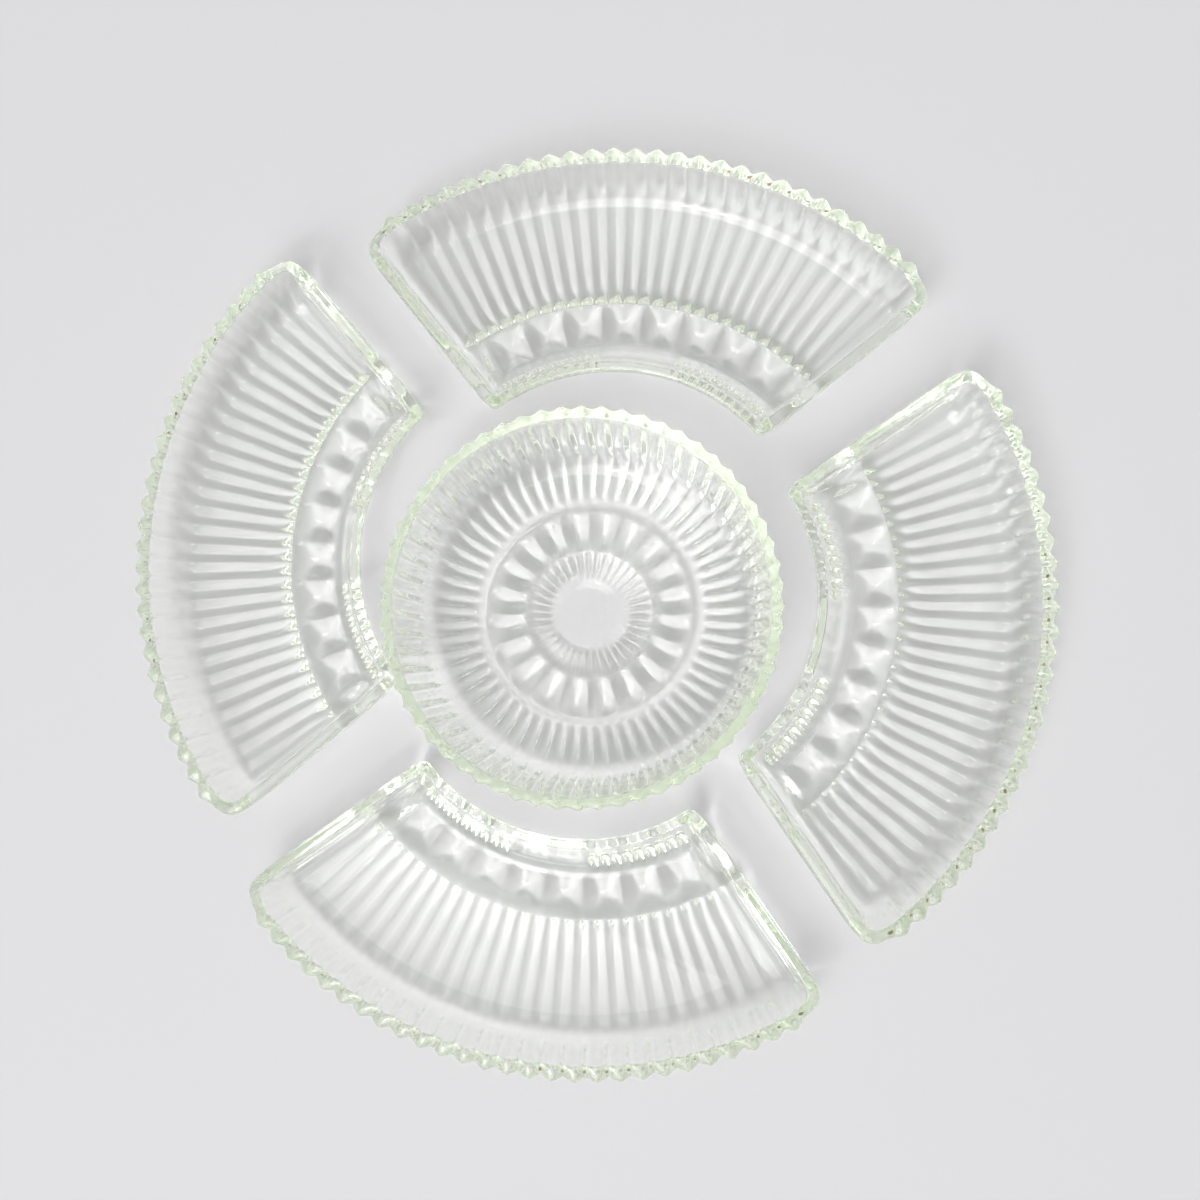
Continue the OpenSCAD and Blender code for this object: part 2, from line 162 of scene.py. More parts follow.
class BowlSizes(bpy.types.PropertyGroup):
    """Sizes of the round bowl. Radii are from its own axis, depths go into the glass."""

    height: bpy.props.FloatProperty(
        name="Height", description="Table to the top of the rim",
        default=40 * MM, unit="LENGTH")
    rim_drop: bpy.props.FloatProperty(
        name="Rim Drop", description="Widest part of the teeth below the top",
        default=0.8 * MM, unit="LENGTH")
    rim_r: bpy.props.FloatProperty(
        name="Rim Radius", description="Edge of the rim, in the valleys between teeth",
        default=65.2 * MM, unit="LENGTH")
    lean: bpy.props.FloatProperty(
        name="Lean", description="How far the wall comes in at the table",
        default=8 * MM, unit="LENGTH")
    rim_w: bpy.props.FloatProperty(
        name="Rim Width", description="Plain width of the rim",
        default=3.3 * MM, unit="LENGTH")
    floor_h: bpy.props.FloatProperty(
        name="Floor Height", description="Table to the inside floor",
        default=5.4 * MM, unit="LENGTH")
    fillet: bpy.props.FloatProperty(
        name="Fillet", description="Radius between the inside wall and the floor",
        default=6 * MM, unit="LENGTH")
    tooth_count: bpy.props.IntProperty(
        name="Teeth", description="Teeth on the rim, flutes up the wall and ribs under the floor",
        default=60)
    tooth_d: bpy.props.FloatProperty(
        name="Tooth Reach", description="Reach of the teeth beyond the valleys of the rim",
        default=1.4 * MM, unit="LENGTH")
    flute_d: bpy.props.FloatProperty(
        name="Flute Depth", description="Reach of the flutes on the wall",
        default=1.5 * MM, unit="LENGTH")
    relief_d: bpy.props.FloatProperty(
        name="Rib Depth", description="Depth of the grooves under the floor",
        default=2 * MM, unit="LENGTH")
    rib_lift: bpy.props.FloatProperty(
        name="Rib Lift", description="Rib crests above the table",
        default=0.1 * MM, unit="LENGTH")
    foot_r: bpy.props.FloatProperty(
        name="Foot Radius", description="Outer radius of the ring between the petals and the ribs",
        default=40 * MM, unit="LENGTH")
    foot_w: bpy.props.FloatProperty(
        name="Foot Width", description="Width of the ring between the petals and the ribs",
        default=2.5 * MM, unit="LENGTH")
    foot_lift: bpy.props.FloatProperty(
        name="Foot Lift", description="Height of that ring above the table",
        default=1.2 * MM, unit="LENGTH")
    foot_step: bpy.props.FloatProperty(
        name="Foot Step", description="Width of the sloped step beside the foot ring",
        default=1.7 * MM, unit="LENGTH")
    petal_count: bpy.props.IntProperty(
        name="Petals", description="Petals of the flower under the floor",
        default=20)
    petal_in_r: bpy.props.FloatProperty(
        name="Petals' Inner Radius", description="Inner end of the petals",
        default=22.2 * MM, unit="LENGTH")
    petal_z: bpy.props.FloatProperty(
        name="Petal Valleys", description="Height of the valleys between the petals",
        default=3.5 * MM, unit="LENGTH")
    petal_d: bpy.props.FloatProperty(
        name="Petal Depth", description="Depth of a petal's ridge below its valleys",
        default=3.1 * MM, unit="LENGTH")
    petal_hip: bpy.props.FloatProperty(
        name="Petal Hip", description="Length of the sloped end of a petal",
        default=4 * MM, unit="LENGTH")
    fine_rib_count: bpy.props.IntProperty(
        name="Fine Ribs", description="Fine ribs round the middle disc",
        default=40)
    fine_rib_d: bpy.props.FloatProperty(
        name="Fine Rib Depth", description="Depth of the grooves between the fine ribs",
        default=0.8 * MM, unit="LENGTH")
    disc_r: bpy.props.FloatProperty(
        name="Disc Radius", description="Plain disc in the middle of the underside",
        default=14.1 * MM, unit="LENGTH")
    disc_z: bpy.props.FloatProperty(
        name="Disc Step", description="Height of the sloped step round the disc",
        default=1.2 * MM, unit="LENGTH")


class SetPlaces(bpy.types.PropertyGroup):
    """How the four dishes stand round the bowl: turn, gap to the bowl and sideways shift."""

    right: bpy.props.FloatVectorProperty(
        name="Right Dish", description="Turn in degrees, gap in mm and shift in mm",
        default=(-10.6, 9.7, 6.9), size=3)
    front: bpy.props.FloatVectorProperty(
        name="Front Dish", description="Turn in degrees, gap in mm and shift in mm",
        default=(-99.7, 8.9, 1.4), size=3)
    left: bpy.props.FloatVectorProperty(
        name="Left Dish", description="Turn in degrees, gap in mm and shift in mm",
        default=(175.4, 11.5, -17.5), size=3)
    back: bpy.props.FloatVectorProperty(
        name="Back Dish", description="Turn in degrees, gap in mm and shift in mm",
        default=(83.8, 15.6, -6.5), size=3)


class GlassLook(bpy.types.PropertyGroup):
    """Colours and surface of the pressed glass."""

    tint: bpy.props.FloatVectorProperty(
        name="Tint", description="Colour that thick glass takes",
        default=(0.775, 0.86, 0.68), size=3, min=0, max=1, subtype="COLOR")
    dish_density: bpy.props.FloatProperty(
        name="Dish Tint Density", description="Strength of the tint in the dishes, per metre",
        default=13.0)
    bowl_density: bpy.props.FloatProperty(
        name="Bowl Tint Density", description="Strength of the tint in the bowl, per metre",
        default=10.0)
    roughness: bpy.props.FloatProperty(
        name="Roughness", description="Roughness of the clean surface",
        default=0.015, subtype="FACTOR")
    ripple: bpy.props.FloatProperty(
        name="Ripple", description="Strength of the soft waves that pressing leaves",
        default=0.12, subtype="FACTOR")
    grime: bpy.props.FloatVectorProperty(
        name="Grime", description="Old dirt in the valleys between the beads",
        default=(0.16, 0.09, 0.04), size=3, min=0, max=1, subtype="COLOR")


class StageLook(bpy.types.PropertyGroup):
    """Floor, light and camera."""

    floor: bpy.props.FloatVectorProperty(
        name="Floor", description="Colour of the floor",
        default=(0.80, 0.795, 0.815), size=3, min=0, max=1, subtype="COLOR")
    sky: bpy.props.FloatVectorProperty(
        name="Sky", description="Colour of the light from all round",
        default=(1.0, 0.995, 0.99), size=3, min=0, max=1, subtype="COLOR")
    sky_strength: bpy.props.FloatProperty(
        name="Sky Strength", description="Strength of the light from the bright side of the room",
        default=4.7)
    dim_strength: bpy.props.FloatProperty(
        name="Dim Strength", description="Strength of the light from the dim side of the room",
        default=0.45)
    backdrop_strength: bpy.props.FloatProperty(
        name="Backdrop Strength",
        description="Least strength of the room where the camera sees it, also through the glass",
        default=0.78)
    bright_side: bpy.props.FloatVectorProperty(
        name="Bright Side", description="Direction of the bright side of the room",
        default=(-0.27, -0.62, 0.80), size=3, subtype="DIRECTION")
    softbox_power: bpy.props.FloatProperty(
        name="Window Power", description="Power of the softbox in front of the set, in watts",
        default=1.0)
    ceiling_power: bpy.props.FloatProperty(
        name="Ceiling Power", description="Power of the softbox above the set, in watts",
        default=0.75)
    eye: bpy.props.FloatVectorProperty(
        name="Eye", description="Place of the camera",
        default=(45.4 * MM, -46.1 * MM, 537.1 * MM), size=3, subtype="TRANSLATION")
    target: bpy.props.FloatVectorProperty(
        name="Target", description="Point that the camera looks at",
        default=(3.54 * MM, 5.63 * MM, 0), size=3, subtype="TRANSLATION")
    lens: bpy.props.FloatProperty(
        name="Lens", description="Focal length on a 36 mm sensor, in millimetres",
        default=46.39)


def start_clean():
    """Leaves edit mode and deselects everything, so that an operator meets only its own piece."""
    if bpy.context.object and bpy.context.object.mode != "OBJECT":
        bpy.ops.object.mode_set(mode="OBJECT")
    bpy.ops.object.select_all(action="DESELECT")


def open_cage(name):
    """Names the new primitive, opens it for editing and adds the marks to its vertices."""
    piece = bpy.context.object
    piece.name = name
    piece.data.name = name
    bpy.ops.object.mode_set(mode="EDIT")
    bpy.ops.mesh.select_mode(type="VERT")
    form = bmesh.from_edit_mesh(piece.data)
    for mark in MARKS:
        form.verts.layers.int.new(mark)
    for mark in (GRIME_MARK, WEAR_MARK):
        form.verts.layers.float.new(mark)
    bmesh.update_edit_mesh(piece.data)
    return piece


def set_marks(piece, mark, value_of):
    """Writes a mark on every selected vertex, from the vertex's place."""
    form = bmesh.from_edit_mesh(piece.data)
    layer = form.verts.layers.int[mark]
    for vertex in form.verts:
        if vertex.select:
            vertex[layer] = value_of(vertex.co)
    bmesh.update_edit_mesh(piece.data, loop_triangles=False, destructive=False)


def pick(piece, rule):
    """Selects the vertices whose ring, row and column, n, j and c in a rule, it accepts."""
    form = bmesh.from_edit_mesh(piece.data)
    ring, row, column = (form.verts.layers.int[mark] for mark in MARKS)
    for vertex in form.verts:
        vertex.select_set(False)
    found = False
    for vertex in form.verts:
        if rule(vertex[ring], vertex[row], vertex[column]):
            vertex.select_set(True)
            found = True
    if not found:
        raise RuntimeError(f"no vertex of {piece.name} was picked")
    form.select_mode = {"VERT"}
    form.select_flush_mode()
    bmesh.update_edit_mesh(piece.data, loop_triangles=False, destructive=False)


def push(piece, rule, x=0.0, y=0.0, z=0.0):
    """Moves the picked vertices."""
    pick(piece, rule)
    bpy.ops.transform.translate(value=(x, y, z))


def swell(piece, rule, factor):
    """Moves the picked vertices away from the upright axis through the origin."""
    pick(piece, rule)
    bpy.ops.transform.resize(value=(factor, factor, 1), center_override=(0, 0, 0))


def crease(piece, rule, sharpness):
    """Sharpens the edges whose two ends, each a (ring, row, column), the rule accepts."""
    bpy.ops.mesh.select_all(action="DESELECT")
    bpy.ops.mesh.select_mode(type="EDGE")
    form = bmesh.from_edit_mesh(piece.data)
    ring, row, column = (form.verts.layers.int[mark] for mark in MARKS)
    for edge in form.edges:
        a, b = edge.verts
        edge.select_set(rule((a[ring], a[row], a[column]), (b[ring], b[row], b[column])))
    bmesh.update_edit_mesh(piece.data, loop_triangles=False, destructive=False)
    bpy.ops.transform.edge_crease(value=sharpness)
    bpy.ops.mesh.select_all(action="DESELECT")
    bpy.ops.mesh.select_mode(type="VERT")


def raise_cap(piece, ring, lift):
    """Extrudes the newest ring with the cap inside it, and marks the result as the next ring."""
    pick(piece, lambda n, j, c: n == ring)
    bpy.ops.mesh.extrude_region_move(TRANSFORM_OT_translate={"value": (0, 0, lift)})
    set_marks(piece, "ring", lambda place: ring + 1)
    return ring + 1


def close_cage(piece):
    """Turns the faces outwards, softens the low mesh and takes its marks away."""
    bpy.ops.mesh.select_all(action="SELECT")
    bpy.ops.mesh.normals_make_consistent(inside=False)
    bpy.ops.object.mode_set(mode="OBJECT")
    for mark in MARKS:
        piece.data.attributes.remove(piece.data.attributes[mark])
    soft = piece.modifiers.new("Soft pressing", "SUBSURF")
    soft.levels = SOFTENING
    soft.render_levels = SOFTENING
    bpy.ops.object.modifier_apply(modifier=soft.name)
    bpy.ops.object.shade_smooth_by_angle(angle=CRISP_ANGLE)


class FanDishForm:
    """The fan dish as a straight tray, which is bent round the fan's point at the end.

    Columns run along the arc, rows across it from the outer wall to the wall next to the bowl,
    and rings up the outside, over the rim and down the inside."""

    # Widths of rows: by the outer wall, from the ribs to the pyramids, where the ribs fade, and
    # from the pyramids to the wall by the bowl.
    row_hold = 8 * MM
    rib_step = 0.9 * MM
    rib_ramp = 4.5 * MM
    pyramid_edge = 1.2 * MM
    # Shares of the pyramid valleys' height that the rows on either side of them rise to.
    rib_end_rise = 0.85
    back_rise = 0.9
    corner_cut = 1.6 * MM
    # Rings below the rim or its top, and how far the wall by the bowl is set back at its foot.
    bead_drop = 0.7 * MM
    edge_drop = 0.5 * MM
    lip_drop = 1.1 * MM
    back_foot = 0.4 * MM
    # How far the top of the rim sinks in the valleys between beads, and on the beads' flanks.
    bead_sink = (("edge", 1.5 * MM, 0.35 * MM), ("crown", 1.1 * MM, 0.25 * MM))
    rib_crease = 0.40
    flute_crease = 0.32
    bead_crease = 0.28
    pyramid_crease = 0.45
    lip_crease = 0.30

    def __init__(self, size):
        self.size = size
        self.bend_r = (size.outer_r + size.inner_r) / 2
        self.cells = size.rib_count * RIB_COLUMNS + 2
        self.cell_w = self.bend_r * size.rib_pitch / RIB_COLUMNS
        foot = (size.relief_d, size.foot_bevel)
        outer, inner = self.outer_r(*foot), self.inner_r(*foot)
        pyramid_in = inner + self.pyramid_edge
        pyramid_out = pyramid_in + size.pyramid_w
        rib_end = pyramid_out + self.rib_step
        hold = outer - self.row_hold
        rib_hold = rib_end + self.rib_ramp
        self.rows = [outer, hold, (hold + rib_hold) / 2, rib_hold, rib_end,
                     pyramid_out, pyramid_in, inner]
        self.rib_end_row = self.rows.index(rib_end)
        self.pyramid_out_row = self.rows.index(pyramid_out)
        self.pyramid_in_row = self.rows.index(pyramid_in)
        self.last_row = len(self.rows) - 1

    def lean(self, z):
        rim_z = self.size.height - self.size.rim_drop
        return 1 - min(z, rim_z) / rim_z

    def outer_r(self, z, depth):
        return self.size.outer_r - self.size.outer_lean * self.lean(z) - depth

    def inner_r(self, z, depth):
        return self.size.inner_r + self.size.inner_lean * self.lean(z) + depth

    def side_x(self, z, depth, r):
        off = self.size.side_gap + self.size.side_lean * self.lean(z) + depth
        return self.bend_r * (self.size.fan_angle / 2 - math.asin(off / r))

    def phase(self, column):
        return (column - 1) % RIB_COLUMNS

    def rib_number(self, column):
        """Ribs from the middle of the dish to a column."""
        return (column - 1) / RIB_COLUMNS - self.size.rib_count / 2

    def is_rib_column(self, column):
        return 0 < column < self.cells

    def levels(self):
        """Rings above the foot: label, height, depth into the glass, the same at the wall by the
        bowl, and spread of the columns."""
        size = self.size
        top, floor = size.height, size.floor_h
        rim_z = top - size.rim_drop
        wall_z = size.relief_d + size.foot_bevel
        inside, fillet = size.rim_w, size.fillet
        back = size.back_fillet
        return (
            ("wall foot", wall_z, 0, self.back_foot, 1),
            ("mid wall", 0.42 * rim_z, 0, 0, 1),
            ("flute top", 0.70 * rim_z, 0, 0, 1),
            ("bead foot", 0.84 * rim_z, 0, 0, 1),
            ("bead", rim_z - self.bead_drop, 0, 0, 1),
            ("edge", top - self.edge_drop, 0.12 * inside, 0.16 * inside, 1),
            ("crown", top, 0.52 * inside, 0.62 * inside, 0.985),
            ("inner edge", top, 0.97 * inside, 0.97 * inside, 0.97),
            ("inner lip", top - self.lip_drop, 1.04 * inside, inside, 0.965),
            ("fillet top", floor + fillet, inside, 0.8 * inside, 0.94),
            ("fillet", floor + 0.30 * fillet, inside + 0.30 * fillet,
             0.8 * inside + 0.30 * back, 0.92),
            ("fillet end", floor, inside + fillet, 0.8 * inside + back, 0.90),
            ("floor", floor, inside + 1.5 * fillet, 0.8 * inside + 1.6 * back, 0.89),
        )

    def build(self, name):
        size = self.size
        last = self.last_row
        bpy.ops.mesh.primitive_grid_add(
            x_subdivisions=self.cells, y_subdivisions=last, size=1, location=(0, 0, 0))
        piece = open_cage(name)
        bpy.ops.mesh.select_all(action="SELECT")
        set_marks(piece, "column", lambda place: round((place.x + 0.5) * self.cells))
        set_marks(piece, "row", lambda place: round((place.y + 0.5) * last))
        bpy.ops.transform.resize(value=(self.cells * self.cell_w, 1, 1))
        bpy.ops.transform.translate(value=(0, 0, size.relief_d))
        for row, r in enumerate(self.rows):
            push(piece, lambda n, j, c: j == row, y=self.bend_r - r - (row / last - 0.5))
        self.side_now = [self.cells * self.cell_w / 2] * len(self.rows)
        self.rows_now = list(self.rows)
        self.seat_sides(piece, 0, size.relief_d, size.foot_bevel)
        self.raise_walls(piece)
        self.press_floor(piece)
        self.press_walls(piece)
        self.press_pyramids(piece)
        self.sharpen(piece)
        self.mark_age(piece)
        close_cage(piece)
        self.bend(piece)
        return piece

    def seat_sides(self, piece, ring, z, depth):
        """Moves the two end walls of the newest ring to their place, row by row."""
        for row, r in enumerate(self.rows_now):
            target = self.side_x(z, depth, r)
            step = target - self.side_now[row]
            self.side_now[row] = target
            push(piece, lambda n, j, c: n == ring and j == row and c == 0, x=-step)
            push(piece, lambda n, j, c: n == ring and j == row and c == self.cells, x=step)

    def raise_walls(self, piece):
        """Extrudes the walls, the rim and the inside, ring by ring."""
        size = self.size
        self.ring_of = {}
        ring, z_now, spread_now = 0, size.relief_d, 1.0
        for label, z, depth, back_depth, spread in self.levels():
            ring = raise_cap(piece, ring, z - z_now)
            self.ring_of[label] = ring
            outer, inner = self.outer_r(z, depth), self.inner_r(z, back_depth)
            out_step = self.rows_now[0] - outer
            in_step = self.rows_now[-1] - inner
            push(piece, lambda n, j, c: n == ring and j <= 1, y=out_step)
            push(piece, lambda n, j, c: n == ring and j == self.last_row, y=in_step)
            self.rows_now[0] = outer
            self.rows_now[1] = outer - self.row_hold
            self.rows_now[-1] = inner
            if spread != spread_now:
                pick(piece, lambda n, j, c: n == ring and self.is_rib_column(c))
                bpy.ops.transform.resize(
                    value=(spread / spread_now, 1, 1), center_override=(0, 0, 0))
            self.seat_sides(piece, ring, z, depth)
            z_now, spread_now = z, spread
        self.round_corners(piece)

    def round_corners(self, piece):
        """Cuts the outer corners back, more at the rim than at the foot."""
        cut = self.corner_cut
        for label, share in (("wall foot", 0.3), ("mid wall", 0.6), ("flute top", 0.8),
                             ("bead foot", 0.9), ("bead", 1), ("edge", 1), ("crown", 0.8),
                             ("inner edge", 0.5), ("inner lip", 0.5), ("fillet top", 0.4)):
            ring = self.ring_of[label]
            push(piece, lambda n, j, c: n == ring and j == 0 and c == 0,
                 x=cut * share, y=cut * share)
            push(piece, lambda n, j, c: n == ring and j == 0 and c == self.cells,
                 x=-cut * share, y=cut * share)

    def press_floor(self, piece):
        """Presses the ribs into the underside, from the outer wall to the row of pyramids."""
        depth = self.size.relief_d
        shares = {CREST: 1.0, FLANK: 0.5, FAR_FLANK: 0.5}
        for phase, share in shares.items():
            push(piece, lambda n, j, c: n == 0 and j < self.rib_end_row
                 and self.is_rib_column(c) and self.phase(c) == phase, z=-depth * share)
            push(piece, lambda n, j, c: n == 0 and j == self.rib_end_row
                 and self.is_rib_column(c) and self.phase(c) == phase, z=-depth * share / 4)
        push(piece, lambda n, j, c: n == 0 and j == self.rib_end_row,
             z=self.rib_end_rise * (self.size.pyramid_valley_z - depth))

    def press_walls(self, piece):
        """Presses flutes and beads into the outer wall, and ribs into the wall by the bowl."""
        size = self.size
        flute, bead = size.flute_d, size.bead_d
        reach = {
            "wall foot": (flute, 0.6 * flute),
            "mid wall": (1.05 * flute, 0.6 * flute),
            "flute top": (1.1 * flute, 0.65 * flute),
            "bead foot": (1.05 * bead, 0.60 * bead),
            "bead": (1.08 * bead, 0.62 * bead),
            "edge": (0.95 * bead, 0.55 * bead),
        }
        for label, (crest, flank) in reach.items():
            ring = self.ring_of[label]
            push(piece, lambda n, j, c: n == ring and j == 0 and self.is_rib_column(c)
                 and self.phase(c) == CREST, y=-crest)
            push(piece, lambda n, j, c: n == ring and j == 0 and self.is_rib_column(c)
                 and self.phase(c) in (FLANK, FAR_FLANK), y=-flank)
        for label, valley, flank in self.bead_sink:
            ring = self.ring_of[label]
            push(piece, lambda n, j, c: n == ring and j == 0 and self.is_rib_column(c)
                 and self.phase(c) == GROOVE, z=-valley)
            push(piece, lambda n, j, c: n == ring and j == 0 and self.is_rib_column(c)
                 and self.phase(c) in (FLANK, FAR_FLANK), z=-flank)
        push(piece, lambda n, j, c: n == 0 and j == self.last_row,
             z=self.back_rise * (size.pyramid_valley_z - size.relief_d))
        for ring, share in ((0, 0.9), (self.ring_of["wall foot"], 1.0),
                            (self.ring_of["mid wall"], 0.6)):
            for phase, part in ((CREST, 1.2), (FLANK, 0.6), (FAR_FLANK, 0.6)):
                push(piece, lambda n, j, c: n == ring and j == self.last_row
                     and self.has_back_rib(c, phase), y=size.back_rib_d * share * part,
                     z=-size.back_rib_d * share * part)

    def has_back_rib(self, column, phase):
        number = abs(round(self.rib_number(column)))
        return (self.is_rib_column(column) and self.phase(column) == phase
                and self.size.back_ribs_from <= number <= self.size.back_ribs_to)

    def pyramid_of(self, place_x):
        """Number of the pyramid that a place along the tray belongs to."""
        return math.floor(place_x / (self.cell_w * RIB_COLUMNS * self.size.pyramid_ribs))

    def press_pyramids(self, piece):
        """Joins the cells of each pyramid into one face and pokes its point down."""
        size = self.size
        rows = (self.pyramid_out_row, self.pyramid_in_row)
        push(piece, lambda n, j, c: n == 0 and j in rows, z=size.pyramid_valley_z - size.relief_d)
        low = self.bend_r - self.rows[self.pyramid_out_row]
        high = self.bend_r - self.rows[self.pyramid_in_row]
        below = (size.floor_h + size.pyramid_valley_z) / 2
        bpy.ops.mesh.select_mode(type="FACE")
        ends = self.pyramid_of(self.cells * self.cell_w / 2)
        for number in range(-ends - 1, ends + 1):
            bpy.ops.mesh.select_all(action="DESELECT")
            form = bmesh.from_edit_mesh(piece.data)
            for face in form.faces:
                middle = face.calc_center_median()
                face.select_set(middle.z < below and low < middle.y < high
                                and self.pyramid_of(middle.x) == number)
            bmesh.update_edit_mesh(piece.data, loop_triangles=False, destructive=False)
            bpy.ops.mesh.dissolve_faces()
        bpy.ops.mesh.select_all(action="DESELECT")
        form = bmesh.from_edit_mesh(piece.data)
        for face in form.faces:
            face.select_set(len(face.verts) > RIB_COLUMNS)
        bmesh.update_edit_mesh(piece.data, loop_triangles=False, destructive=False)
        bpy.ops.mesh.poke(center_mode="BOUNDS")
        bpy.ops.mesh.select_all(action="DESELECT")
        bpy.ops.mesh.select_mode(type="VERT")
        form = bmesh.from_edit_mesh(piece.data)
        ring = form.verts.layers.int["ring"]
        for vertex in form.verts:
            if len(vertex.link_edges) > 2 * RIB_COLUMNS:
                vertex.select_set(True)
                vertex[ring] = -1
        bmesh.update_edit_mesh(piece.data, loop_triangles=False, destructive=False)
        bpy.ops.transform.translate(
            value=(0, 0, size.pyramid_point_z - size.pyramid_valley_z))

    def sharpen(self, piece):
        """Keeps the crests, the grooves and the ridges of the pyramids crisp."""
        size = self.size

        def along_column(a, b, phases, rings):
            return (a[2] == b[2] and self.is_rib_column(a[2]) and self.phase(a[2]) in phases
                    and a[0] in rings and b[0] in rings)

        crease(piece, lambda a, b: along_column(a, b, (CREST, GROOVE), (0,))
               and max(a[1], b[1]) <= self.rib_end_row, self.rib_crease)
        walls = range(0, self.ring_of["bead foot"] + 1)
        crease(piece, lambda a, b: a[1] == b[1] == 0 and a[0] != b[0]
               and along_column(a, b, (CREST, GROOVE), walls), self.flute_crease)
        beads = range(self.ring_of["bead foot"], self.ring_of["edge"] + 1)
        crease(piece, lambda a, b: a[1] == b[1] == 0 and a[0] != b[0]
               and along_column(a, b, (CREST, GROOVE), beads), self.bead_crease)

        def pyramid_corner(mark):
            number = self.rib_number(mark[2]) / size.pyramid_ribs
            return mark[2] in (0, self.cells) or abs(number - round(number)) < 0.01

        crease(piece, lambda a, b: (a[0] == -1 and pyramid_corner(b))
               or (b[0] == -1 and pyramid_corner(a)), self.pyramid_crease)
        rows = (self.pyramid_out_row, self.pyramid_in_row)
        crease(piece, lambda a, b: a[0] == b[0] == 0 and a[1] == b[1] and a[1] in rows,
               self.pyramid_crease)
        crease(piece, lambda a, b: a[0] == b[0] == 0 and {a[1], b[1]} == set(rows),
               self.pyramid_crease)
        lip = self.ring_of["inner edge"]
        crease(piece, lambda a, b: a[0] == b[0] == lip, self.lip_crease)

    def mark_age(self, piece):
        """Marks the valleys between the beads, where old dirt settles, and the rubbed beads."""
        form = bmesh.from_edit_mesh(piece.data)
        ring, row, column = (form.verts.layers.int[mark] for mark in MARKS)
        grime, wear = (form.verts.layers.float[mark] for mark in (GRIME_MARK, WEAR_MARK))
        beads = range(self.ring_of["bead foot"], self.ring_of["edge"] + 1)
        for vertex in form.verts:
            valley = self.is_rib_column(vertex[column]) and self.phase(vertex[column]) == GROOVE
            outer = vertex[row] == 0
            vertex[grime] = float(vertex[ring] == self.ring_of["crown"] and outer and valley)
            vertex[wear] = float(vertex[ring] in beads and outer)
        bmesh.update_edit_mesh(piece.data)

    def bend(self, piece):
        """Bends the straight tray round the fan's point, with its middle line along +X."""
        along = [vertex.co.x for vertex in piece.data.vertices]
        bent = piece.modifiers.new("Fan", "SIMPLE_DEFORM")
        bent.deform_method = "BEND"
        bent.deform_axis = "Z"
        bent.angle = (max(along) - min(along)) / self.bend_r
        bpy.ops.object.modifier_apply(modifier=bent.name)
        piece.location.y = -self.bend_r
        bpy.ops.object.transform_apply(location=True, rotation=False, scale=False)
        piece.rotation_euler.z = math.radians(90)
        bpy.ops.object.transform_apply(location=False, rotation=True, scale=False)


